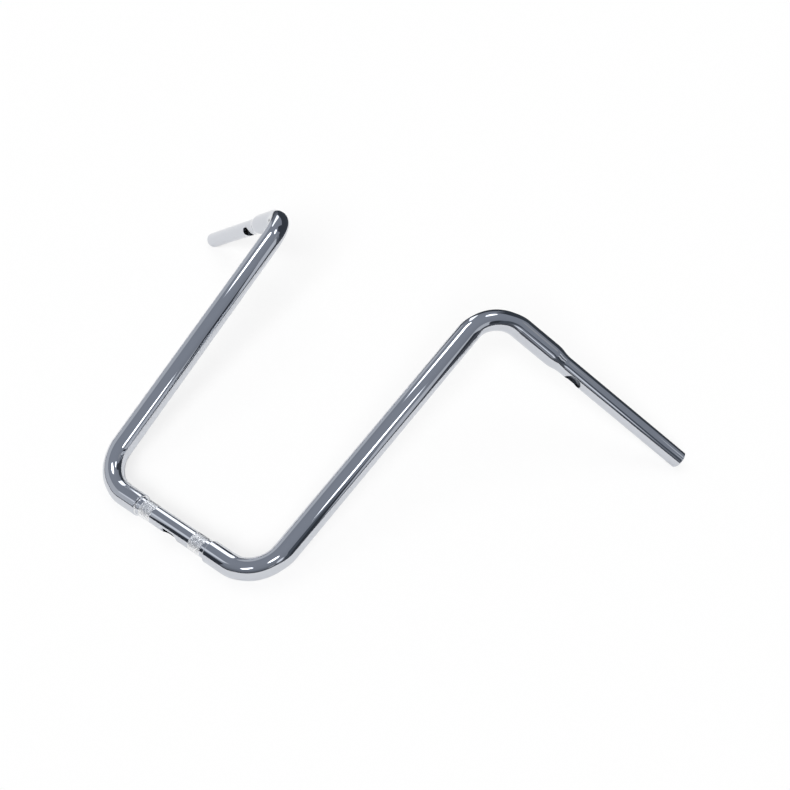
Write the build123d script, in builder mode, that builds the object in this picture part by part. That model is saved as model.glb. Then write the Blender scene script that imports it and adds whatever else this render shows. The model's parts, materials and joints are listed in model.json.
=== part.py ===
"""Bare chrome ape-hanger handlebar: a 1 in clamp tube welded into two bent 1-1/4 in upright tubes.

Millimetres, +Z up. The origin is the middle of the clamp tube's axis. +X runs along the clamp tube to
the rider's left and +Y runs back, the way the uprights lean when the bar lies at rest on its two lower
bends and its two bar ends. Bar coordinates (across, back, rise) are those of the bar on its motorcycle,
with the uprights straight up and the control ends pulled straight back.
"""

from build123d import *
import os
from math import cos, radians, sin

INCH = 25.4

# Tube stock
upright_radius = 0.625 * INCH
upright_bore_radius = 0.505 * INCH
clamp_radius = 0.5 * INCH
clamp_bore_radius = 0.38 * INCH
control_radius = 0.5 * INCH
control_bore_radius = 0.375 * INCH
bend_radius = 2.25 * INCH

# Centreline, in bar coordinates
lower_corner_across = 148.5
upper_corner_across = 184.5
rise = 477.0
end_across = 18 * INCH
pull_back = 209.0

# Lean of the uprights above the floor when the bar lies on its lower bends and bar ends
rest_lean = radians(23.07)

# Clamp tube and its seat in the uprights
seat_start = 64.0
seat_depth = 30.0
clamp_slot_length = 30.0
clamp_slot_width = 16.0
clamp_end_chamfer = 0.8
mouth_round = 1.4

# Rolled knurl bands that the riser clamps grip; rolling raises the crests above the tube
knurl_start = 35.75
knurl_length = 21.0
knurl_crest_radius = 12.9

# Seam welds at the step, and the rosette welds through each upright's wall
seam_leg = 1.6
plug_station = 79.0
plug_radius = 5.0

# Swage from the upright's diameter to the control end's, measured from the upper corner
swage_start = 106.0
swage_end = 132.0

# Wire slot under each control end, measured from the upper corner
wire_slot_station = 153.0
wire_slot_length = 25.4
wire_slot_width = 18.0

# Bar end edges
end_outer_chamfer = 1.2
end_inner_chamfer = 0.6


def bar_vector(across, back, up):
    """Lay bar coordinates down into the resting frame."""
    along_floor = back * sin(rest_lean) + up * cos(rest_lean)
    above_floor = up * sin(rest_lean) - back * cos(rest_lean)
    return Vector(across, along_floor, above_floor)


bar_up = bar_vector(0, 0, 1)
seat_mouth = bar_vector(seat_start, 0, 0)
lower_corner = bar_vector(lower_corner_across, 0, 0)
upper_corner = bar_vector(upper_corner_across, 0, rise)
bar_end = bar_vector(end_across, pull_back, rise)
control_run = bar_end - upper_corner
control_length = control_run.length
control_direction = control_run.normalized()
swage_mouth = upper_corner + control_direction * swage_start


# --- Clamp tube: 1 in tube between and inside the uprights, with two knurl bands, plain at the height
# of their crests, and a wire slot underneath ---

clamp_length = 2 * (seat_start + seat_depth)
slot_depth = 2 * clamp_radius

with BuildPart() as clamp_tube:
    with BuildSketch(Plane.YZ.offset(-clamp_length / 2)):
        Circle(clamp_radius)
        Circle(clamp_bore_radius, mode=Mode.SUBTRACT)
    extrude(amount=clamp_length)
    end_edges = clamp_tube.edges().filter_by(GeomType.CIRCLE).group_by(SortBy.RADIUS)[-1]
    chamfer(end_edges, clamp_end_chamfer)
    for band_start in (knurl_start, -knurl_start - knurl_length):
        with BuildSketch(Plane.YZ.offset(band_start)):
            Circle(knurl_crest_radius)
            Circle(clamp_radius, mode=Mode.SUBTRACT)
        extrude(amount=knurl_length)
    with BuildSketch(Plane(origin=(0, 0, 0), x_dir=(1, 0, 0), z_dir=-bar_up)):
        SlotOverall(clamp_slot_length, clamp_slot_width)
    extrude(amount=slot_depth, mode=Mode.SUBTRACT)


# --- Left upright tube: stub, lower bend, upright, upper bend, swage and control end ---

swage_middle = (swage_start + swage_end) / 2
outer_middle = (upright_radius + control_radius) / 2
bore_middle = (upright_bore_radius + control_bore_radius) / 2
swage_plane = Plane(origin=upper_corner, x_dir=control_direction, z_dir=bar_up)
wire_slot_centre = upper_corner + control_direction * wire_slot_station

with BuildPart() as left_upright_tube:
    with BuildLine() as centreline:
        FilletPolyline(seat_mouth, lower_corner, upper_corner, swage_mouth, radius=bend_radius)
    with BuildSketch(Plane.YZ.offset(seat_start)):
        Circle(upright_radius)
        Circle(upright_bore_radius, mode=Mode.SUBTRACT)
    sweep(path=centreline.wire())
    mouth_edge = left_upright_tube.edges().group_by(Axis.X)[0].sort_by(SortBy.RADIUS)[-1]
    fillet(mouth_edge, mouth_round)

    with BuildSketch(swage_plane):
        with BuildLine():
            TangentArc((swage_start, upright_radius), (swage_middle, outer_middle), tangent=(1, 0))
            TangentArc((swage_end, control_radius), (swage_middle, outer_middle), tangent=(-1, 0))
            Polyline(
                (swage_end, control_radius),
                (control_length - end_outer_chamfer, control_radius),
                (control_length, control_radius - end_outer_chamfer),
                (control_length, control_bore_radius + end_inner_chamfer),
                (control_length - end_inner_chamfer, control_bore_radius),
                (swage_end, control_bore_radius),
            )
            TangentArc((swage_end, control_bore_radius), (swage_middle, bore_middle), tangent=(-1, 0))
            TangentArc((swage_start, upright_bore_radius), (swage_middle, bore_middle), tangent=(1, 0))
            Line((swage_start, upright_bore_radius), (swage_start, upright_radius))
        make_face()
    revolve(axis=Axis(upper_corner, control_direction))

    with BuildSketch(Plane(origin=wire_slot_centre, x_dir=control_direction, z_dir=-bar_up)):
        SlotOverall(wire_slot_length, wire_slot_width)
    extrude(amount=slot_depth, mode=Mode.SUBTRACT)

    with BuildSketch(Plane(origin=(plug_station, 0, 0), x_dir=(1, 0, 0), z_dir=bar_up)):
        Circle(plug_radius)
    extrude(amount=slot_depth, both=True, mode=Mode.SUBTRACT)


# --- Left seam weld: concave fillet ring in the step between clamp tube and upright ---

with BuildPart() as left_seam_weld:
    with BuildSketch(Plane.XY):
        with BuildLine():
            Line((seat_start, clamp_radius), (seat_start, clamp_radius + seam_leg))
            RadiusArc(
                (seat_start, clamp_radius + seam_leg),
                (seat_start - seam_leg, clamp_radius),
                seam_leg,
            )
            Line((seat_start - seam_leg, clamp_radius), (seat_start, clamp_radius))
        make_face()
    revolve(axis=Axis.X)


# --- Left rosette welds: plugs that fill the drilled holes, ground flush with the upright ---

def rosette_weld(outward):
    """One plug from the clamp tube's surface to the upright's outer surface."""
    with BuildPart() as plug:
        with BuildSketch(Plane(origin=(plug_station, 0, 0), x_dir=(1, 0, 0), z_dir=outward)):
            Circle(plug_radius)
        extrude(amount=slot_depth)
        with BuildSketch(Plane.YZ.offset(plug_station - slot_depth)):
            Circle(upright_radius)
            Circle(clamp_radius, mode=Mode.SUBTRACT)
        extrude(amount=2 * slot_depth, mode=Mode.INTERSECT)
    return plug.part


def mirrored(piece):
    """The same piece on the rider's right."""
    with BuildPart() as other_side:
        mirror(piece, about=Plane.YZ)
    return other_side.part


left_pieces = {
    "upright_tube": left_upright_tube.part,
    "seam_weld": left_seam_weld.part,
    "upper_rosette_weld": rosette_weld(bar_up),
    "lower_rosette_weld": rosette_weld(-bar_up),
}

os.makedirs("parts", exist_ok=True)

clamp_tube.part.label = "clamp_tube"
export_step(clamp_tube.part, "parts/clamp_tube.step")

for name, left_piece in left_pieces.items():
    for side, piece in (("left", left_piece), ("right", mirrored(left_piece))):
        piece.label = f"{side}_{name}"
        export_step(piece, f"parts/{side}_{name}.step")
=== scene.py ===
"""Chrome ape-hanger handlebar: polished tubes, knurled bands, welds, and a pale studio around them."""
import bpy
import json
import numpy as np
from math import acos, cos, pi, radians, sin, sqrt, tan
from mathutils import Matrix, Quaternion, Vector


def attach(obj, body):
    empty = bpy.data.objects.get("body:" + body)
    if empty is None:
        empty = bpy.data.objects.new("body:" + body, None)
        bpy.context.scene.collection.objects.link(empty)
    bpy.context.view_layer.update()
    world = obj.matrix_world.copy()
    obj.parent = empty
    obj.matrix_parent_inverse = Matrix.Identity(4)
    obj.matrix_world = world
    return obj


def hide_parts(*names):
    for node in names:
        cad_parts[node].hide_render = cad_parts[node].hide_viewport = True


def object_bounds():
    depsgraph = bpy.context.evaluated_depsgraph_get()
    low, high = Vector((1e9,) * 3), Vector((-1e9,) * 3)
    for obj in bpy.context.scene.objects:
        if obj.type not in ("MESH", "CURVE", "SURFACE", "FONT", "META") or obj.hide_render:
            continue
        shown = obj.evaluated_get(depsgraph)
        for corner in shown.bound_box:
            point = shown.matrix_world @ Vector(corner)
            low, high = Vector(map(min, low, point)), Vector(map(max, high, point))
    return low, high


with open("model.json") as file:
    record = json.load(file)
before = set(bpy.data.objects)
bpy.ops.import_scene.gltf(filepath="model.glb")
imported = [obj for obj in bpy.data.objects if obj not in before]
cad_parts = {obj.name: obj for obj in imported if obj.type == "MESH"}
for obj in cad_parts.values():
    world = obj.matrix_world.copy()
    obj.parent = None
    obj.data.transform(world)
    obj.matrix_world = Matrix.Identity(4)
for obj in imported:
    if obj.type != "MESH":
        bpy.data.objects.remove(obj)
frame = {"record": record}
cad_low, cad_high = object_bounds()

MM = 0.001
INCH = 25.4 * MM
mounts = {mount["name"]: mount for mount in frame["record"]["mounts"]}


def mount_radius(name):
    return mounts[name]["dims"]["r_mm"] * MM


# Tube stock, as in the CAD
UPRIGHT_R = 0.625 * INCH
UPRIGHT_BORE_R = 0.505 * INCH
CLAMP_R = mount_radius("clamp_zone")
CLAMP_BORE_R = 0.38 * INCH
CONTROL_R = mount_radius("left_control_end")
CONTROL_BORE_R = mount_radius("left_bar_end_bore")
BEND_R = 2.25 * INCH

# Centreline corners in bar coordinates, and the lean at rest
LOWER_CORNER_ACROSS = 148.5 * MM
UPPER_CORNER_ACROSS = 184.5 * MM
RISE = 477.0 * MM
END_ACROSS = 18 * INCH
PULL_BACK = 209.0 * MM
REST_LEAN = radians(23.07)

# Stations and edges
SEAT_START = 64.0 * MM
SEAT_DEPTH = 30.0 * MM
MOUTH_ROUND = 1.4 * MM
SWAGE_START = 106.0 * MM
SWAGE_END = 132.0 * MM
END_CHAMFER = 1.2 * MM
BORE_CHAMFER = 0.6 * MM
CLAMP_END_CHAMFER = 0.8 * MM
WIRE_SLOT_STATION = 153.0 * MM
WIRE_SLOT_LENGTH = 25.4 * MM
WIRE_SLOT_WIDTH = 18.0 * MM
CLAMP_SLOT_LENGTH = 30.0 * MM
CLAMP_SLOT_WIDTH = 16.0 * MM
SLOT_EDGE_ROUND = 0.45 * MM

# Knurl bands: diamonds round the tube, depth of the grooves, the share of each diamond that slopes,
# and the length over which a band runs out to plain tube
KNURL_START = 35.75 * MM
KNURL_LENGTH = 21.0 * MM
KNURL_CREST_R = mount_radius("left_clamp_band")
KNURL_AROUND = 42
KNURL_DEPTH = 0.31 * MM
KNURL_SLOPE = 0.42
KNURL_RUN_OUT = 0.7 * MM

# Welds: the seam bead's ripples bow back toward its two edges
SEAM_LEG = 1.6 * MM
SEAM_RIPPLES = 26
RIPPLE_HEIGHT = 0.12 * MM
RIPPLE_BOW = 3.2
PLUG_STATION = 79.0 * MM
PLUG_R = 5.0 * MM
PLUG_SKIN_GAP = 0.1 * MM

# How far the real bends are squeezed in their own plane, and the stub beside the lower one, and the
# share of a bend over which the squeeze grows
BEND_FLATTENING = 0.09
STUB_FLATTENING = 0.04
FLATTENING_RAMP = 0.25

# Mesh fineness: columns go round a tube, rings follow each other along it
COLUMNS = 128
RING_GAP = 8 * MM
BEND_STEP = radians(1.75)
SWAGE_RINGS = 19
MOUTH_RINGS = 7
STEEPEST = radians(89.9)  # stands for square to the axis
KNURL_FINENESS = 6
CLAMP_COLUMNS = KNURL_AROUND * KNURL_FINENESS
CLAMP_RING_GAP = 3 * MM
RIPPLE_FINENESS = 8
SEAM_COLUMNS = SEAM_RIPPLES * RIPPLE_FINENESS
SEAM_RINGS = 13
PLUG_COLUMNS = 48
PLUG_RINGS = 12
PLUG_CENTRE = 0.02  # of the plug's radius

# The window in the skin that each slot fills: half its length, its rings, and its columns to each side
WIRE_SLOT_WINDOW = 17 * MM
WIRE_SLOT_RINGS = 15
WIRE_SLOT_SIDE = 28
CLAMP_SLOT_WINDOW = 20 * MM
CLAMP_SLOT_RINGS = 33
CLAMP_SLOT_SIDE = 60

# Mesh layers between a slot and its window, how much they crowd toward the slot, the rings of its
# rounded rim, and how often the search for its outline halves
SLOT_LAYERS = 9
SLOT_CROWDING = 1.4
RIM_RINGS = 4
OUTLINE_HALVINGS = 50

# Points that round to the same cell of this size are one point
WELD_CELL = 2e-7

# Which of a piece's materials a patch has
PLATED, BARE, KNURLED = 0, 1, 2

DIAGONAL = sqrt(0.5)
ORIGIN = np.zeros(3)
X_AXIS = np.array([1.0, 0.0, 0.0])


def unit(vectors):
    """Each vector at length 1."""
    return vectors / np.linalg.norm(vectors, axis=-1, keepdims=True)


def bar_vector(across, back, up):
    """Bar coordinates laid down into the resting frame."""
    along_floor = back * sin(REST_LEAN) + up * cos(REST_LEAN)
    above_floor = up * sin(REST_LEAN) - back * cos(REST_LEAN)
    return np.array([across, along_floor, above_floor])


def smooth_step(t):
    t = np.clip(t, 0.0, 1.0)
    return t * t * (3.0 - 2.0 * t)


BAR_UP = bar_vector(0, 0, 1)
SEAT_MOUTH = bar_vector(SEAT_START, 0, 0)
LOWER_CORNER = bar_vector(LOWER_CORNER_ACROSS, 0, 0)
UPPER_CORNER = bar_vector(UPPER_CORNER_ACROSS, 0, RISE)
BAR_END = bar_vector(END_ACROSS, PULL_BACK, RISE)
CONTROL_LENGTH = np.linalg.norm(BAR_END - UPPER_CORNER)
CONTROL_DIRECTION = unit(BAR_END - UPPER_CORNER)


# --- Mesh patches: each is points, faces and a normal for every point; patches weld where they meet ---


def ring_quads(rings, columns):
    """Quads between neighbouring closed rings, with the ring and column that each starts from."""
    ring, column = np.meshgrid(np.arange(rings - 1), np.arange(columns), indexing="ij")
    after = (column + 1) % columns
    corners = [
        ring * columns + column,
        ring * columns + after,
        (ring + 1) * columns + after,
        (ring + 1) * columns + column,
    ]
    return np.stack(corners, axis=-1).reshape(-1, 4), ring, column


class Shell:
    """A closed surface put together from patches, with exact normals kept at every face corner."""

    def __init__(self):
        self.points = []
        self.normals = []
        self.faces = []
        self.finishes = []
        self.count = 0

    def add(self, points, normals, faces, finish=PLATED):
        self.points.append(points)
        self.normals.append(normals)
        self.faces.append(faces + self.count)
        self.finishes.append(np.full(len(faces), finish))
        self.count += len(points)

    def add_grid(self, points, normals, finish=PLATED, hole=None):
        """Rings of points, each ring closed. hole is (ring from, ring to, columns each side of 0)."""
        rings, columns = points.shape[:2]
        faces, ring, column = ring_quads(rings, columns)
        if hole:
            first, last, side = hole
            centred = np.where(column >= columns // 2, column - columns, column)
            cut = (ring >= first) & (ring < last) & (centred >= -side) & (centred < side)
            faces = faces[~cut.reshape(-1)]
        self.add(points.reshape(-1, 3), normals.reshape(-1, 3), faces, finish)

    def mesh(self, name, mirror):
        """The shell as one Blender mesh, or its mirror image on the other side of the bar."""
        points = np.concatenate(self.points)
        normals = np.concatenate(self.normals)
        faces = np.concatenate(self.faces)
        finishes = np.concatenate(self.finishes)
        if mirror:
            points = points * (-1, 1, 1)
            normals = normals * (-1, 1, 1)
            faces = faces[:, ::-1]
        cells = np.round(points / WELD_CELL).astype(np.int64)
        _, first, weld = np.unique(cells, axis=0, return_index=True, return_inverse=True)
        corners = weld.reshape(-1)[faces]
        doubled = corners == np.roll(corners, -1, axis=1)
        polygons = []
        corner_normals = []
        kept_finishes = []
        for face, ids, double, finish in zip(faces, corners, doubled, finishes):
            keep = ~double
            if keep.sum() < 3:
                continue
            polygons.append(ids[keep].tolist())
            corner_normals.extend(normals[face[keep]])
            kept_finishes.append(finish)
        mesh = bpy.data.meshes.new(name)
        mesh.from_pydata(points[first].tolist(), [], polygons)
        mesh.polygons.foreach_set("material_index", np.array(kept_finishes, dtype=np.int32))
        mesh.polygons.foreach_set("use_smooth", np.ones(len(polygons), dtype=bool))
        mesh.update()
        mesh.normals_split_custom_set(np.array(corner_normals, dtype=np.float32))
        return mesh


def ring_spokes(tangent, first_axis, columns):
    """Unit vectors all round a line, from first_axis on."""
    angle = 2 * pi * np.arange(columns) / columns
    second_axis = np.cross(tangent, first_axis)
    return np.cos(angle)[:, None] * first_axis + np.sin(angle)[:, None] * second_axis


def relief_normals(points, outward):
    """Normals of closed rings of points, on the side that outward faces."""
    along = np.gradient(points, axis=0)
    around = (np.roll(points, -1, axis=1) - np.roll(points, 1, axis=1)) / 2
    normals = np.cross(around, along)
    facing = np.sum(normals * outward, axis=2, keepdims=True)
    return unit(normals * np.sign(facing))


def revolved_rings(origins, tangents, first_axes, radii, slopes, squeeze=None):
    """Rings of points and normals round a line. slopes is how fast each radius grows along the tangent.

    squeeze is (amount, direction) for each ring: how much narrower it is that way.
    """
    angle = 2 * pi * np.arange(COLUMNS) / COLUMNS
    second_axes = np.cross(tangents, first_axes)
    spokes = (
        np.cos(angle)[None, :, None] * first_axes[:, None, :]
        + np.sin(angle)[None, :, None] * second_axes[:, None, :]
    )
    offsets = spokes * radii[:, None, None]
    normals = spokes - slopes[:, None, None] * tangents[:, None, :]
    if squeeze is not None:
        amount, direction = squeeze
        across = np.sum(offsets * direction[:, None, :], axis=2, keepdims=True)
        offsets = offsets - amount[:, None, None] * across * direction[:, None, :]
        facing = np.sum(normals * direction[:, None, :], axis=2, keepdims=True)
        stretch = 1 / (1 - amount) - 1
        normals = normals + stretch[:, None, None] * facing * direction[:, None, :]
    return origins[:, None, :] + offsets, unit(normals)


def add_profile(shell, origin, tangent, first_axis, profile, columns, finish=PLATED, hole=None):
    """Revolve rows of (along, radius, along part of normal, radial part of normal) round a line."""
    profile = np.array(profile, dtype=float)[:, :, None, None]
    spokes = ring_spokes(tangent, first_axis, columns)
    points = origin + profile[:, 0] * tangent + profile[:, 1] * spokes
    normals = profile[:, 2] * tangent + profile[:, 3] * spokes
    shell.add_grid(points, unit(normals), finish, hole)


def slot_outline(directions, length, width, grow=0.0):
    """Where rays from the slot's middle cross its outline, with the outline's outward normal."""
    half_straight = (length - width) / 2
    radius = width / 2 + grow
    low = np.zeros(len(directions))
    high = np.full(len(directions), length)
    for _ in range(OUTLINE_HALVINGS):
        middle = (low + high) / 2
        place = directions * middle[:, None]
        beyond = np.maximum(np.abs(place[:, 0]) - half_straight, 0)
        outside = np.hypot(beyond, place[:, 1]) > radius
        high = np.where(outside, middle, high)
        low = np.where(outside, low, middle)
    place = directions * low[:, None]
    core = np.clip(place[:, 0], -half_straight, half_straight)
    return place, unit(np.stack([place[:, 0] - core, place[:, 1]], axis=1))


def add_slot(shell, centre, tangent, window, sizes, radii, columns):
    """Close the windows left in a skin and a bore with a slot cut straight down through both.

    window is (stations along the tangent, columns each side); sizes is (length, width) of the slot.
    """
    stations, side = window
    length, width = sizes
    outer_radius, bore_radius = radii
    first_axis = -BAR_UP
    second_axis = np.cross(tangent, first_axis)
    step = 2 * pi / columns
    sides = np.arange(-side, side) * step
    top = np.full(len(stations) - 1, side * step)
    border = np.concatenate(
        [
            np.stack([np.full(len(sides), stations[0]), sides], axis=1),
            np.stack([stations[:-1], top], axis=1),
            np.stack([np.full(len(sides), stations[-1]), -sides], axis=1),
            np.stack([stations[:0:-1], -top], axis=1),
        ]
    )
    directions = unit(border * (1, outer_radius))
    outline, outline_normal = slot_outline(directions, length, width)
    rim, _ = slot_outline(directions, length, width, SLOT_EDGE_ROUND)

    def on_cylinder(along, angle, radius):
        spoke = np.cos(angle)[..., None] * first_axis + np.sin(angle)[..., None] * second_axis
        return centre + along[..., None] * tangent + radius * spoke, spoke

    def below_centre(place, depth):
        flat = place[:, :1] * tangent + place[:, 1:] * second_axis
        return centre + flat + depth[:, None] * first_axis

    def layer_faces(layers, inwards):
        faces, _, _ = ring_quads(layers, len(border))
        return np.roll(faces, -1, axis=1) if inwards else np.roll(faces[:, ::-1], 1, axis=1)

    blend = (np.linspace(0, 1, SLOT_LAYERS) ** SLOT_CROWDING)[:, None]
    for radius, edge, inwards, finish in (
        (outer_radius, rim, False, PLATED),
        (bore_radius, outline, True, BARE),
    ):
        edge_angle = np.arcsin(edge[:, 1] / radius)
        along = (1 - blend) * edge[:, 0] + blend * border[:, 0]
        angle = (1 - blend) * edge_angle + blend * border[:, 1]
        points, spokes = on_cylinder(along, angle, radius)
        normals = -spokes if inwards else spokes
        faces = layer_faces(SLOT_LAYERS, inwards)
        shell.add(points.reshape(-1, 3), normals.reshape(-1, 3), faces, finish)

    # Rounded rim, from the outer skin down into the slot's wall
    wall_normal = -(outline_normal[:, :1] * tangent + outline_normal[:, 1:] * second_axis)
    rim_points = []
    rim_normals = []
    _, rim_spoke = on_cylinder(rim[:, 0], np.arcsin(rim[:, 1] / outer_radius), outer_radius)
    for turn in np.linspace(0, pi / 2, RIM_RINGS):
        place = outline + (1 - sin(turn)) * (rim - outline)
        inset = SLOT_EDGE_ROUND * (1 - cos(turn))
        rim_points.append(below_centre(place, np.sqrt(outer_radius**2 - place[:, 1] ** 2) - inset))
        rim_normals.append(unit(cos(turn) * rim_spoke + sin(turn) * wall_normal))
    shell.add(np.concatenate(rim_points), np.concatenate(rim_normals), layer_faces(RIM_RINGS, True))

    # Wall, from the rim to the bore
    wall_end = below_centre(outline, np.sqrt(bore_radius**2 - outline[:, 1] ** 2))
    wall = np.concatenate([rim_points[-1], wall_end])
    shell.add(wall, np.tile(wall_normal, (2, 1)), layer_faces(2, True))


# --- Left upright tube, walked from the bar end in to the mouth, so that column 0 faces the floor ---


def turned(vector, axis, angle):
    """vector turned about a unit axis."""
    return (
        vector * cos(angle)
        + np.cross(axis, vector) * sin(angle)
        + axis * np.dot(axis, vector) * (1 - cos(angle))
    )


def bend_between(before, corner, after):
    """Start, end, axis and angle of the bend at a corner."""
    arriving = unit(corner - before)
    leaving = unit(after - corner)
    angle = acos(np.dot(arriving, leaving))
    reach = BEND_R * tan(angle / 2)
    axis = unit(np.cross(arriving, leaving))
    return corner - arriving * reach, corner + leaving * reach, axis, angle


def ring_places(start, end, gap):
    """Stations from start to end, about a gap apart."""
    return np.linspace(start, end, max(2, int(round((end - start) / gap)) + 1))


def upright_stations():
    """Place, tangent, first axis, squeeze amount and squeeze direction of each ring, swage to mouth."""
    swage_mouth = UPPER_CORNER + CONTROL_DIRECTION * SWAGE_START
    upper_start, upper_end, *upper_bend = bend_between(BAR_END, UPPER_CORNER, LOWER_CORNER)
    lower_start, lower_end, *lower_bend = bend_between(UPPER_CORNER, LOWER_CORNER, SEAT_MOUTH)
    mouth = SEAT_MOUTH + X_AXIS * MOUTH_ROUND
    rows = []
    heading = -CONTROL_DIRECTION
    first_axis = -BAR_UP

    def straight(start, end, squeeze, direction):
        length = np.linalg.norm(end - start)
        for part in ring_places(0, length, RING_GAP) / length:
            rows.append((start + (end - start) * part, heading, first_axis, squeeze, direction))

    def bend(start, axis, angle, stub_end):
        nonlocal heading, first_axis
        centre = start + np.cross(axis, heading) * BEND_R
        steps = int(round(angle / BEND_STEP))
        entry_heading = heading
        entry_axis = first_axis
        entry_spoke = start - centre
        for index in range(steps + 1):
            part = index / steps
            turn = angle * part
            squeeze = BEND_FLATTENING * smooth_step(min(part, 1 - part) / FLATTENING_RAMP)
            if stub_end and part > 0.5:
                squeeze = max(squeeze, STUB_FLATTENING)
            spoke = turned(entry_spoke, axis, turn)
            heading = turned(entry_heading, axis, turn)
            first_axis = turned(entry_axis, axis, turn)
            rows.append((centre + spoke, heading, first_axis, squeeze, unit(spoke)))

    straight(swage_mouth, upper_start, 0.0, BAR_UP)
    rows.pop()
    bend(upper_start, *upper_bend, stub_end=False)
    rows.pop()
    straight(upper_end, lower_start, 0.0, X_AXIS)
    rows.pop()
    bend(lower_start, *lower_bend, stub_end=True)
    stub_direction = rows.pop()[4]
    straight(lower_end, mouth, STUB_FLATTENING, stub_direction)
    return [np.array(column) for column in zip(*rows)]


def swage_radius(along, wide, narrow):
    """Radius and slope of the two tangent arcs between the upright's diameter and the control end's."""
    half = (SWAGE_END - SWAGE_START) / 2
    drop = (wide - narrow) / 2
    arc = (half**2 + drop**2) / (2 * drop)
    if along <= half:
        fall = sqrt(arc**2 - along**2)
        return wide - (arc - fall), -along / fall
    back = 2 * half - along
    fall = sqrt(arc**2 - back**2)
    return narrow + (arc - fall), -back / fall


def add_control_end(shell):
    """Chamfered end, straight run with the wire slot, and swage, in both skin and bore."""
    inwards = -CONTROL_DIRECTION
    slot_rings = np.linspace(-WIRE_SLOT_WINDOW, WIRE_SLOT_WINDOW, WIRE_SLOT_RINGS)
    slot_stations = WIRE_SLOT_STATION + slot_rings
    for wide, narrow, facing, edge, finish in (
        (UPRIGHT_R, CONTROL_R, 1, END_CHAMFER, PLATED),
        (UPRIGHT_BORE_R, CONTROL_BORE_R, -1, BORE_CHAMFER, BARE),
    ):
        rows = []
        for along in np.linspace(0, SWAGE_END - SWAGE_START, SWAGE_RINGS):
            radius, slope = swage_radius(along, wide, narrow)
            rows.append((-SWAGE_START - along, radius, slope * facing, facing))
        before_slot = ring_places(SWAGE_END, slot_stations[0], RING_GAP)[1:]
        beyond_slot = ring_places(slot_stations[-1], CONTROL_LENGTH - edge, RING_GAP)[1:]
        first = len(rows) + len(before_slot) - 1
        last = first + len(slot_rings) - 1
        for stations in (before_slot, slot_stations[1:], beyond_slot):
            rows += [(-along, narrow, 0, facing) for along in stations]
        hole = (first, last, WIRE_SLOT_SIDE)
        if facing > 0:
            rows.reverse()
            hole = (len(rows) - 1 - last, len(rows) - 1 - first, WIRE_SLOT_SIDE)
        add_profile(shell, UPPER_CORNER, inwards, -BAR_UP, rows, COLUMNS, finish, hole)
    add_slot(
        shell,
        UPPER_CORNER + CONTROL_DIRECTION * WIRE_SLOT_STATION,
        inwards,
        (slot_rings, WIRE_SLOT_SIDE),
        (WIRE_SLOT_LENGTH, WIRE_SLOT_WIDTH),
        (CONTROL_R, CONTROL_BORE_R),
        COLUMNS,
    )
    end_edges = (
        [
            (0, CONTROL_BORE_R + BORE_CHAMFER, -1, 0),
            (0, CONTROL_R - END_CHAMFER, -1, 0),
        ],
        [
            (0, CONTROL_R - END_CHAMFER, -DIAGONAL, DIAGONAL),
            (END_CHAMFER, CONTROL_R, -DIAGONAL, DIAGONAL),
        ],
        [
            (BORE_CHAMFER, CONTROL_BORE_R, -DIAGONAL, -DIAGONAL),
            (0, CONTROL_BORE_R + BORE_CHAMFER, -DIAGONAL, -DIAGONAL),
        ],
    )
    for edge in end_edges:
        add_profile(shell, BAR_END, inwards, -BAR_UP, edge, COLUMNS)


def upright_shell():
    shell = Shell()
    places, tangents, first_axes, squeezes, squeeze_directions = upright_stations()
    level = np.zeros(len(places))

    # Swept skin and bore, from the swage round both bends to the mouth
    squeeze = (squeezes, squeeze_directions)
    skin = revolved_rings(places, tangents, first_axes, level + UPRIGHT_R, level, squeeze)
    shell.add_grid(*skin)
    bore_points, spokes = revolved_rings(places, tangents, first_axes, level + UPRIGHT_BORE_R, level)
    shell.add_grid(bore_points[::-1], -spokes[::-1], BARE)
    add_control_end(shell)

    # Mouth: the skin rounds over into a flat face that the seam weld sits on
    turns = np.linspace(0, pi / 2, MOUTH_RINGS)
    centres = np.array([SEAT_MOUTH + X_AXIS * MOUTH_ROUND * (1 - sin(turn)) for turn in turns])
    radii = np.array([UPRIGHT_R - MOUTH_ROUND * (1 - cos(turn)) for turn in turns])
    slopes = np.array([-tan(min(turn, STEEPEST)) for turn in turns])

    def at_mouth(vector):
        return np.tile(vector, (MOUTH_RINGS, 1))

    squeeze = (np.full(MOUTH_RINGS, squeezes[-1]), at_mouth(squeeze_directions[-1]))
    rounding = revolved_rings(
        centres, at_mouth(-X_AXIS), at_mouth(first_axes[-1]), radii, slopes, squeeze
    )
    shell.add_grid(*rounding)
    inner_ring = bore_points[-1] - X_AXIS * MOUTH_ROUND
    face = np.stack([rounding[0][-1], inner_ring])
    shell.add_grid(face, np.broadcast_to(-X_AXIS, face.shape))
    lip = np.stack([inner_ring, bore_points[-1]])
    shell.add_grid(lip, np.broadcast_to(-spokes[-1], lip.shape), BARE)
    return shell


# --- Clamp tube: knurl bands, wire slot underneath ---


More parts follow.
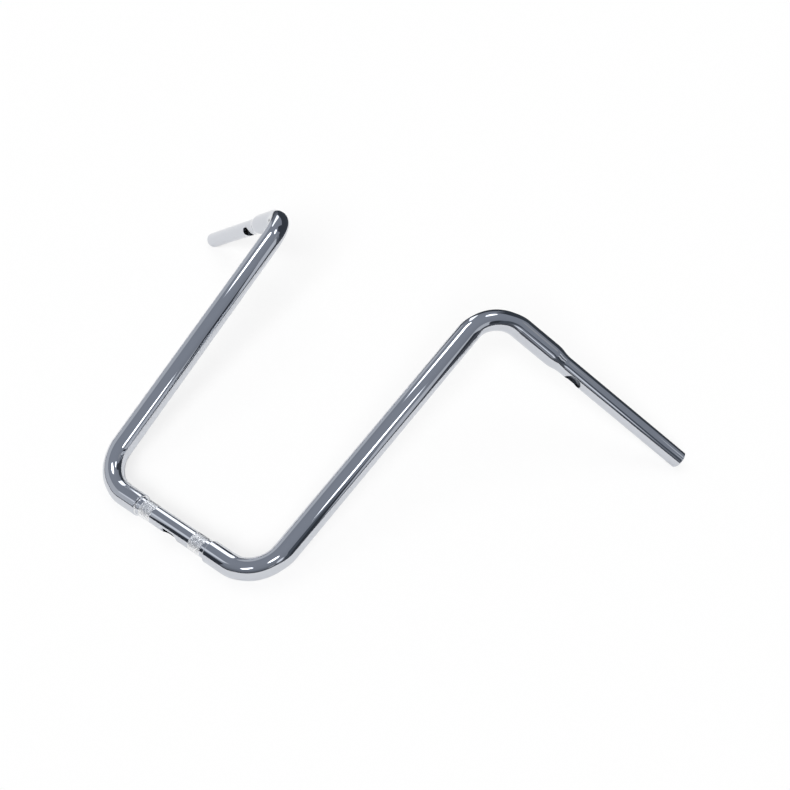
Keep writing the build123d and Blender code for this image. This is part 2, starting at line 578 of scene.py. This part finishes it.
def add_knurl_band(shell, start, end):
    """A band of pyramids left standing between two crossing sets of rolled grooves."""
    pitch = 2 * pi * CLAMP_R / KNURL_AROUND
    stations = np.append(np.arange(start, end, pitch / KNURL_FINENESS), end)
    along = (stations - start)[:, None] / pitch
    around = np.arange(CLAMP_COLUMNS)[None, :] / KNURL_FINENESS
    height = np.ones((len(stations), CLAMP_COLUMNS))
    for groove in (around + along, around - along):
        height = np.minimum(height, 2 * np.abs(groove - np.round(groove)))
    height = np.minimum(height, KNURL_SLOPE) / KNURL_SLOPE
    fade = smooth_step(np.minimum(stations - start, end - stations) / KNURL_RUN_OUT)[:, None]
    rolled = KNURL_CREST_R - KNURL_DEPTH * (1 - height)
    radii = CLAMP_R + (rolled - CLAMP_R) * fade
    spokes = ring_spokes(X_AXIS, -BAR_UP, CLAMP_COLUMNS)
    points = stations[:, None, None] * X_AXIS + radii[:, :, None] * spokes
    shell.add_grid(points, relief_normals(points, spokes), KNURLED)


def clamp_shell():
    shell = Shell()
    half = SEAT_START + SEAT_DEPTH
    slot_rings = np.linspace(-CLAMP_SLOT_WINDOW, CLAMP_SLOT_WINDOW, CLAMP_SLOT_RINGS)
    left_band = (KNURL_START, KNURL_START + KNURL_LENGTH)
    right_band = (-left_band[1], -left_band[0])

    def revolve(rows, finish=PLATED, hole=None):
        add_profile(shell, ORIGIN, X_AXIS, -BAR_UP, rows, CLAMP_COLUMNS, finish, hole)

    def plain(start, end):
        revolve([(place, CLAMP_R, 0, 1) for place in ring_places(start, end, CLAMP_RING_GAP)])

    def slotted(start, end):
        """Stations from start to end with the slot's rings among them, and the first of those."""
        before = ring_places(start, -CLAMP_SLOT_WINDOW, CLAMP_RING_GAP)[:-1]
        beyond = ring_places(CLAMP_SLOT_WINDOW, end, CLAMP_RING_GAP)[1:]
        return np.concatenate([before, slot_rings, beyond]), len(before)

    plain(-half + CLAMP_END_CHAMFER, right_band[0])
    stations, first = slotted(right_band[1], left_band[0])
    hole = (first, first + CLAMP_SLOT_RINGS - 1, CLAMP_SLOT_SIDE)
    revolve([(place, CLAMP_R, 0, 1) for place in stations], PLATED, hole)
    plain(left_band[1], half - CLAMP_END_CHAMFER)
    for start, end in (left_band, right_band):
        add_knurl_band(shell, start, end)
    for side in (-1, 1):
        edge = [
            (side * half, CLAMP_R - CLAMP_END_CHAMFER, side * DIAGONAL, DIAGONAL),
            (side * (half - CLAMP_END_CHAMFER), CLAMP_R, side * DIAGONAL, DIAGONAL),
        ]
        face = [
            (side * half, CLAMP_BORE_R, side, 0),
            (side * half, CLAMP_R - CLAMP_END_CHAMFER, side, 0),
        ]
        for rows in (edge, face):
            revolve(rows[::-side])
    stations, first = slotted(-half, half)
    from_far_end = len(stations) - first - CLAMP_SLOT_RINGS
    hole = (from_far_end, from_far_end + CLAMP_SLOT_RINGS - 1, CLAMP_SLOT_SIDE)
    revolve([(place, CLAMP_BORE_R, 0, -1) for place in stations[::-1]], BARE, hole)
    add_slot(
        shell,
        ORIGIN,
        X_AXIS,
        (slot_rings, CLAMP_SLOT_SIDE),
        (CLAMP_SLOT_LENGTH, CLAMP_SLOT_WIDTH),
        (CLAMP_R, CLAMP_BORE_R),
        CLAMP_COLUMNS,
    )
    return shell


# --- Welds ---


def seam_shell():
    """Concave fillet ring at the step, with the faint scallops of the weld passes."""
    shell = Shell()
    angle = 2 * pi * np.arange(SEAM_COLUMNS) / SEAM_COLUMNS
    spokes = ring_spokes(X_AXIS, -BAR_UP, SEAM_COLUMNS)
    rings = []
    for turn in np.linspace(0, pi / 2, SEAM_RINGS):
        phase = SEAM_RIPPLES * angle + RIPPLE_BOW * (turn - pi / 4) ** 2
        lift = RIPPLE_HEIGHT * sin(2 * turn) * (0.5 + 0.5 * np.cos(phase))
        reach = SEAM_LEG - lift
        along = SEAT_START - SEAM_LEG + reach * sin(turn)
        out = CLAMP_R + SEAM_LEG - reach * cos(turn)
        rings.append(along[:, None] * X_AXIS + out[:, None] * spokes)
    points = np.array(rings)
    shell.add_grid(points, relief_normals(points, spokes - X_AXIS))
    inner_corner = points[0] + X_AXIS * SEAM_LEG
    foot = np.stack([points[-1], inner_corner])
    shell.add_grid(foot, np.broadcast_to(X_AXIS, foot.shape))
    sole = np.stack([inner_corner, points[0]])
    shell.add_grid(sole, np.broadcast_to(-spokes, sole.shape))
    return shell


def plug_shell(outward):
    """Weld metal that fills a drilled hole, just under the chrome skin that was ground over it."""
    shell = Shell()
    across_axis = np.cross(X_AXIS, outward)
    angle = 2 * pi * np.arange(PLUG_COLUMNS) / PLUG_COLUMNS
    discs = []
    for radius in (UPRIGHT_R * (1 - STUB_FLATTENING) - PLUG_SKIN_GAP, CLAMP_R):
        rings = []
        for part in np.linspace(PLUG_CENTRE, 1, PLUG_RINGS):
            along = PLUG_R * part * np.cos(angle)
            across = PLUG_R * part * np.sin(angle)
            height = np.sqrt(radius**2 - across**2)
            rings.append(
                (PLUG_STATION + along)[:, None] * X_AXIS
                + across[:, None] * across_axis
                + height[:, None] * outward
            )
        discs.append(np.array(rings))
    top, bottom = discs
    spokes = np.cos(angle)[:, None] * X_AXIS + np.sin(angle)[:, None] * across_axis
    shell.add_grid(top, np.broadcast_to(outward, top.shape))
    shell.add_grid(bottom[::-1], np.broadcast_to(-outward, bottom.shape))
    wall = np.stack([top[-1], bottom[-1]])
    shell.add_grid(wall, np.broadcast_to(spokes, wall.shape))
    fan = np.array([[0, item, item + 1, item + 1] for item in range(1, PLUG_COLUMNS - 1)])
    for disc, facing, order in ((top, outward, -1), (bottom, -outward, 1)):
        ring = disc[0][::order]
        shell.add(ring, np.broadcast_to(facing, ring.shape), fan)
    return shell


# --- Finishes ---


def new_material(name):
    material = bpy.data.materials.new(name)
    material.use_nodes = True
    return material, material.node_tree.nodes, material.node_tree.links


def noise(nodes, links, scale, detail, rough=0.5):
    """Noise laid out in the object's own coordinates, which are metres."""
    place = nodes.new("ShaderNodeTexCoord")
    texture = nodes.new("ShaderNodeTexNoise")
    texture.inputs["Scale"].default_value = scale
    texture.inputs["Detail"].default_value = detail
    texture.inputs["Roughness"].default_value = rough
    links.new(place.outputs["Object"], texture.inputs["Vector"])
    return texture.outputs["Fac"]


def ramp(nodes, links, value, low, high, from_low=0.3, from_high=0.7):
    """value mapped from one range to another."""
    node = nodes.new("ShaderNodeMapRange")
    node.inputs["From Min"].default_value = from_low
    node.inputs["From Max"].default_value = from_high
    node.inputs["To Min"].default_value = low
    node.inputs["To Max"].default_value = high
    links.new(value, node.inputs["Value"])
    return node.outputs["Result"]


def tint(nodes, links, value, dark, light):
    """A colour between dark and light."""
    mix = nodes.new("ShaderNodeMix")
    mix.data_type = "RGBA"
    mix.inputs["A"].default_value = (*dark, 1)
    mix.inputs["B"].default_value = (*light, 1)
    links.new(value, mix.inputs["Factor"])
    return mix.outputs["Result"]


def bump(nodes, links, height, distance, strength=1.0, under=None):
    node = nodes.new("ShaderNodeBump")
    node.inputs["Strength"].default_value = strength
    node.inputs["Distance"].default_value = distance
    links.new(height, node.inputs["Height"])
    if under is not None:
        links.new(under, node.inputs["Normal"])
    return node.outputs["Normal"]


def polished_chrome(name, dark, light, smooth, hazy, ripple):
    """Nickel-chrome plate: near mirror, with faint haze patches and the slow ripple of buffed tube."""
    material, nodes, links = new_material(name)
    shader = nodes["Principled BSDF"]
    shader.inputs["Metallic"].default_value = 1.0
    haze = noise(nodes, links, scale=60.0, detail=4.0)
    fine = noise(nodes, links, scale=1400.0, detail=2.0)
    wave = noise(nodes, links, scale=28.0, detail=1.0)
    links.new(tint(nodes, links, haze, dark, light), shader.inputs["Base Color"])
    links.new(ramp(nodes, links, haze, smooth, hazy), shader.inputs["Roughness"])
    slow = bump(nodes, links, wave, ripple)
    links.new(bump(nodes, links, fine, 0.002 * MM, strength=0.5, under=slow), shader.inputs["Normal"])
    return material


def bare_steel(name):
    """Drawn steel inside the tubes, greyed by the plating bath."""
    material, nodes, links = new_material(name)
    shader = nodes["Principled BSDF"]
    shader.inputs["Metallic"].default_value = 0.3
    blotch = noise(nodes, links, scale=90.0, detail=6.0, rough=0.65)
    grain = noise(nodes, links, scale=900.0, detail=3.0)
    colour = tint(nodes, links, blotch, (0.26, 0.285, 0.33), (0.38, 0.41, 0.46))
    links.new(colour, shader.inputs["Base Color"])
    links.new(ramp(nodes, links, blotch, 0.38, 0.62), shader.inputs["Roughness"])
    links.new(bump(nodes, links, grain, 0.03 * MM), shader.inputs["Normal"])
    return material


def knurl_chrome(name):
    """Plate over sharp rolled diamonds, whose facets glint; its tint is lifted near white, with patches
    of pure white, as painted sparkle, so the band reads pale and sparkling.
    """
    material, nodes, links = new_material(name)
    shader = nodes["Principled BSDF"]
    shader.inputs["Metallic"].default_value = 1.0
    patches = noise(nodes, links, scale=300.0, detail=2.0, rough=0.6)
    haze = ramp(nodes, links, patches, 0.0, 1.0, from_low=0.40, from_high=0.60)
    fine = noise(nodes, links, scale=2600.0, detail=2.0)
    # Painted sparkle: the tint is pure white in the patches and near white elsewhere, standing for the
    # glints of the facets; the patches also make the plate a little rougher
    colour = tint(nodes, links, haze, (0.76, 0.77, 0.79), (1.0, 1.0, 1.0))
    links.new(colour, shader.inputs["Base Color"])
    gloss = ramp(nodes, links, haze, 0.05, 0.12, from_low=0.0, from_high=1.0)
    links.new(gloss, shader.inputs["Roughness"])
    links.new(bump(nodes, links, fine, 0.03 * MM, strength=0.6), shader.inputs["Normal"])
    return material


chrome = polished_chrome(
    "tube_chrome", (0.585, 0.605, 0.648), (0.61, 0.63, 0.672), 0.015, 0.05, 0.015 * MM
)
weld_plate = polished_chrome(
    "weld_chrome_plate", (0.74, 0.75, 0.77), (0.84, 0.85, 0.87), 0.04, 0.10, 0.02 * MM
)
steel = bare_steel("bore_steel")
knurl_plate = knurl_chrome("knurl_chrome_plate")


# --- Pieces ---


def make_piece(name, shell, node, materials, mirror=False):
    piece = bpy.data.objects.new(name, shell.mesh(name, mirror))
    bpy.context.scene.collection.objects.link(piece)
    for material in materials:
        piece.data.materials.append(material)
    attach(piece, "root")
    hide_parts(node)


make_piece(
    "clamp_tube_skin", clamp_shell(), "clamp_tube", (chrome, steel, knurl_plate)
)
left_pieces = (
    ("upright_skin", upright_shell(), "upright_tube", (chrome, steel), "polished_chrome"),
    ("seam_bead", seam_shell(), "seam_weld", (weld_plate,), "weld_chrome"),
    ("upper_rosette_plug", plug_shell(BAR_UP), "upper_rosette_weld", (weld_plate,), "weld_chrome"),
    ("lower_rosette_plug", plug_shell(-BAR_UP), "lower_rosette_weld", (weld_plate,), "weld_chrome"),
)
for side in ("left", "right"):
    for name, shell, node, materials, slot in left_pieces:
        make_piece(f"{side}_{name}", shell, f"{side}_{node}", materials, side == "right")


# --- Studio ---

FLOOR_Z = cad_low.z
MIDDLE = Vector((0.0, 0.2, 0.1))
LIGHT_DISTANCE = 3.0

# Floor without end, and the table top under the bar, whose corners go round it
FLOOR_REACH = 30.0
FLOOR_CORNERS = [(x * FLOOR_REACH, y * FLOOR_REACH) for x, y in ((-1, -1), (1, -1), (1, 1), (-1, 1))]
FLOOR_GLOW = 0.75
TABLE_CORNERS = ((-1.70, -0.36), (0.64, -0.36), (0.64, 0.50), (-1.70, 1.39))
SHEET_GAP = 0.5 * MM

# Tints of the room that the chrome reflects, its brightness from floor to zenith, and the even fill
GREY = (0.91, 0.98, 1.12)
WALL = (0.96, 0.995, 1.06)
DARK = (0.87, 1.0, 1.2)
WHITE = (0.98, 1.0, 1.03)
PURE_WHITE = (1, 1, 1)
ROOM_SHADES = ((0.30, 0.10), (0.50, 0.11), (0.62, 0.22), (0.74, 0.30), (1.0, 0.34))
FILL_STRENGTH = 0.40

# Camera: the viewing angle of the photograph
VIEW_AZIMUTH = 142.10
VIEW_ELEVATION = 41.16
VIEW_DISTANCE = 1.400
AIM = Vector((0.1322, 0.2939, 0.0972))
LENS_MM = 47.49
SENSOR_MM = 36.0


def toward(azimuth, elevation):
    """A direction in the room. Azimuth 0 is +Y and 90 is +X."""
    turn, rise = radians(azimuth), radians(elevation)
    return Vector((sin(turn) * cos(rise), cos(turn) * cos(rise), sin(rise)))


def around(azimuth, elevation, distance):
    """A place that far from the middle of the bar."""
    return MIDDLE + distance * toward(azimuth, elevation)


def soft_light(name, direction, strength, spread):
    """A wide light far off in a direction, which the chrome itself doesn't mirror."""
    data = bpy.data.lights.new(name, "SUN")
    data.energy = strength
    data.angle = radians(spread)
    light = bpy.data.objects.new(name, data)
    light.location = around(*direction, LIGHT_DISTANCE)
    light.rotation_mode = "QUATERNION"
    light.rotation_quaternion = (MIDDLE - light.location).to_track_quat("-Z", "Y")
    light.visible_glossy = False
    bpy.context.scene.collection.objects.link(light)


def emission(nodes, colour, strength):
    node = nodes.new("ShaderNodeEmission")
    node.inputs["Color"].default_value = (*colour, 1)
    node.inputs["Strength"].default_value = strength
    return node


def maths(nodes, links, operation, *values):
    """One maths node; each value is a socket or a number."""
    node = nodes.new("ShaderNodeMath")
    node.operation = operation
    for place, value in enumerate(values):
        if hasattr(value, "is_output"):
            links.new(value, node.inputs[place])
        else:
            node.inputs[place].default_value = value
    return node.outputs[0]


def mixed(nodes, links, share, first, second):
    """The second shader in that share, over the first. share is a socket or a number."""
    mix = nodes.new("ShaderNodeMixShader")
    if hasattr(share, "is_output"):
        links.new(share, mix.inputs["Fac"])
    else:
        mix.inputs["Fac"].default_value = share
    links.new(first.outputs[0], mix.inputs[1])
    links.new(second.outputs[0], mix.inputs[2])
    return mix


def matt_white(name, glow):
    """Matt white; glow is how much of it shines by itself, which lightens the shadows on it."""
    material, nodes, links = new_material(name)
    paint = nodes["Principled BSDF"]
    paint.inputs["Base Color"].default_value = (0.9, 0.9, 0.9, 1)
    paint.inputs["Roughness"].default_value = 0.9
    paint.inputs["Specular IOR Level"].default_value = 0.0
    mix = mixed(nodes, links, glow, paint, emission(nodes, PURE_WHITE, 1.0))
    links.new(mix.outputs[0], nodes["Material Output"].inputs["Surface"])
    return material


def stage_quad(name, corners, material, camera, glossy):
    """A four-cornered sheet of the studio, seen only by the rays that say so, which casts no shadow."""
    mesh = bpy.data.meshes.new(name)
    mesh.from_pydata(corners, [], [(0, 1, 2, 3)])
    mesh.materials.append(material)
    thing = bpy.data.objects.new(name, mesh)
    bpy.context.scene.collection.objects.link(thing)
    thing.visible_camera = camera
    thing.visible_glossy = glossy
    thing.visible_diffuse = False
    thing.visible_transmission = False
    thing.visible_shadow = False
    return thing


def panel(name, centre, size, colour, strength, squareness=2.0, softness=0.25, facing=None, lean=0.0):
    """A glowing panel that only reflections see.

    Its outline runs from an oval, at squareness 2, to a box. It faces the bar unless facing is given.
    """
    half_width, half_height = size[0] / 2, size[1] / 2
    material, nodes, links = new_material(name)
    nodes.clear()
    place = nodes.new("ShaderNodeTexCoord")
    split = nodes.new("ShaderNodeSeparateXYZ")
    links.new(place.outputs["Object"], split.inputs[0])
    parts = []
    for axis, half in (("X", half_width), ("Y", half_height)):
        part = maths(nodes, links, "ABSOLUTE", split.outputs[axis])
        part = maths(nodes, links, "DIVIDE", part, half)
        parts.append(maths(nodes, links, "POWER", part, squareness))
    out = maths(nodes, links, "POWER", maths(nodes, links, "ADD", *parts), 1 / squareness)
    edge = nodes.new("ShaderNodeMapRange")
    edge.interpolation_type = "SMOOTHSTEP"
    edge.inputs["From Min"].default_value = 1 - softness
    edge.inputs["From Max"].default_value = 1.0
    links.new(out, edge.inputs["Value"])
    glow = emission(nodes, colour, strength)
    clear = nodes.new("ShaderNodeBsdfTransparent")
    mix = mixed(nodes, links, edge.outputs["Result"], glow, clear)
    output = nodes.new("ShaderNodeOutputMaterial")
    links.new(mix.outputs[0], output.inputs["Surface"])
    corners = [
        (-half_width, -half_height, 0),
        (half_width, -half_height, 0),
        (half_width, half_height, 0),
        (-half_width, half_height, 0),
    ]
    thing = stage_quad(name, corners, material, camera=False, glossy=True)
    thing.location = centre
    direction = Vector(facing) if facing else MIDDLE - Vector(centre)
    thing.rotation_mode = "QUATERNION"
    thing.rotation_quaternion = direction.to_track_quat("Z", "Y") @ Quaternion((0, 0, 1), lean)


def studio_world():
    """White to the camera, a room that brightens upward to the chrome, and an even fill to all else."""
    world = bpy.data.worlds.new("studio")
    bpy.context.scene.world = world
    world.use_nodes = True
    nodes, links = world.node_tree.nodes, world.node_tree.links
    nodes.clear()
    place = nodes.new("ShaderNodeTexCoord")
    split = nodes.new("ShaderNodeSeparateXYZ")
    links.new(place.outputs["Generated"], split.inputs[0])
    lift = maths(nodes, links, "MULTIPLY_ADD", split.outputs["Z"], 0.5, 0.5)
    shade = nodes.new("ShaderNodeValToRGB")
    shade.color_ramp.interpolation = "EASE"
    links.new(lift, shade.inputs["Fac"])
    stops = shade.color_ramp.elements
    stops[0].position, stops[1].position = ROOM_SHADES[0][0], ROOM_SHADES[-1][0]
    for height, _ in ROOM_SHADES[1:-1]:
        stops.new(height)
    for stop, (_, value) in zip(stops, ROOM_SHADES):
        stop.color = (*(channel * value for channel in GREY), 1)
    room, fill, backdrop = (nodes.new("ShaderNodeBackground") for _ in range(3))
    links.new(shade.outputs["Color"], room.inputs["Color"])
    fill.inputs["Color"].default_value = (*PURE_WHITE, 1)
    fill.inputs["Strength"].default_value = FILL_STRENGTH
    backdrop.inputs["Color"].default_value = (*PURE_WHITE, 1)
    rays = nodes.new("ShaderNodeLightPath")
    seen = mixed(nodes, links, rays.outputs["Is Glossy Ray"], fill, room)
    seen = mixed(nodes, links, rays.outputs["Is Camera Ray"], seen, backdrop)
    output = nodes.new("ShaderNodeOutputWorld")
    links.new(seen.outputs[0], output.inputs["Surface"])


def photograph_camera():
    camera_data = bpy.data.cameras.new("camera")
    camera_data.lens = LENS_MM
    camera_data.sensor_width = SENSOR_MM
    camera = bpy.data.objects.new("camera", camera_data)
    back = toward(VIEW_AZIMUTH, VIEW_ELEVATION)
    camera.location = AIM + back * VIEW_DISTANCE
    camera.rotation_mode = "QUATERNION"
    camera.rotation_quaternion = (-back).to_track_quat("-Z", "Y")
    bpy.context.scene.collection.objects.link(camera)
    bpy.context.scene.camera = camera
    bpy.context.scene.view_settings.view_transform = "Standard"


soft_light("key", (150, 36), 2.9, 24)
soft_light("ceiling_light", (-30, 78), 0.5, 50)
for name, corners, z, paint, camera, glossy in (
    ("floor", FLOOR_CORNERS, FLOOR_Z, matt_white("pale_floor", FLOOR_GLOW), True, False),
    ("table_sheet", TABLE_CORNERS, FLOOR_Z - SHEET_GAP, matt_white("table_white", 0.0), False, True),
):
    stage_quad(name, [(*corner, z) for corner in corners], paint, camera, glossy)

# Room that the chrome reflects: name, centre, (width, height), tint and strength of each panel, then
# its squareness and softness, the direction it faces and how far it leans, where they aren't the usual
panel("left_wall", (-0.92, -0.22, 0.47), (2.0, 0.86), WALL, 0.60, 12, 0.06, (1, 0, 0))
panel("left_board", around(-141, 34, 1.45), (0.50, 0.48), WALL, 0.90, 4, 0.4)
panel("left_doorway", around(-148, 8.5, 1.7), (0.46, 0.92), DARK, 0.05, 10, 0.1)
panel("overhead_lamp", (-0.42, 0.41, 1.60), (0.60, 0.46), WHITE, 5.0)
panel("right_lamp", (1.03, -0.045, 1.20), (0.51, 0.31), WHITE, 5.0, 1.7)
panel("front_lamp", (0.62, -0.88, 1.25), (0.48, 0.38), WHITE, 5.0)
panel("far_front_lamp", (-0.10, -1.75, 1.35), (0.56, 0.50), WHITE, 5.0)
panel("high_back_window", around(18, 57, 1.6), (0.5, 0.34), WHITE, 3.0)
panel("back_window", (-1.195, 1.25, 1.35), (0.47, 1.78), WHITE, 1.9, 6, 0.15, (0, -1, 0), radians(22.5))
panel("back_cabinet", (-0.13, 1.30, 0.26), (1.90, 0.80), DARK, 0.06, 10, 0.1, (0, -1, 0))
panel("back_tower", (0.28, 1.31, 0.70), (0.56, 1.10), DARK, 0.06, 10, 0.1, (0, -1, 0))
panel("back_shelf", around(53, 36, 2.2), (0.90, 0.50), WALL, 0.40, 3, 0.5)
panel("right_post", around(60.75, 10, 2.8), (0.66, 1.80), WALL, 0.66, 8, 0.1)
panel("right_gap", around(71.9, 11.5, 2.8), (0.46, 1.55), DARK, 0.05, 8, 0.1)
panel("right_door", around(83.2, 11, 2.8), (0.67, 1.50), WALL, 0.62, 8, 0.1)
panel("right_doorway", around(101, 10, 2.8), (1.10, 1.19), DARK, 0.05, 8, 0.12)
panel("right_pillar", (2.35, -0.42, 0.86), (0.52, 1.70), DARK, 0.10, 8, 0.2)
panel("right_glint", (2.18, -1.14, 0.85), (0.62, 0.88), WALL, 1.00, 3, 0.4)
panel("right_haze", (1.90, -1.56, 0.38), (0.62, 0.50), WALL, 0.42, 3, 0.5)
studio_world()
photograph_camera()
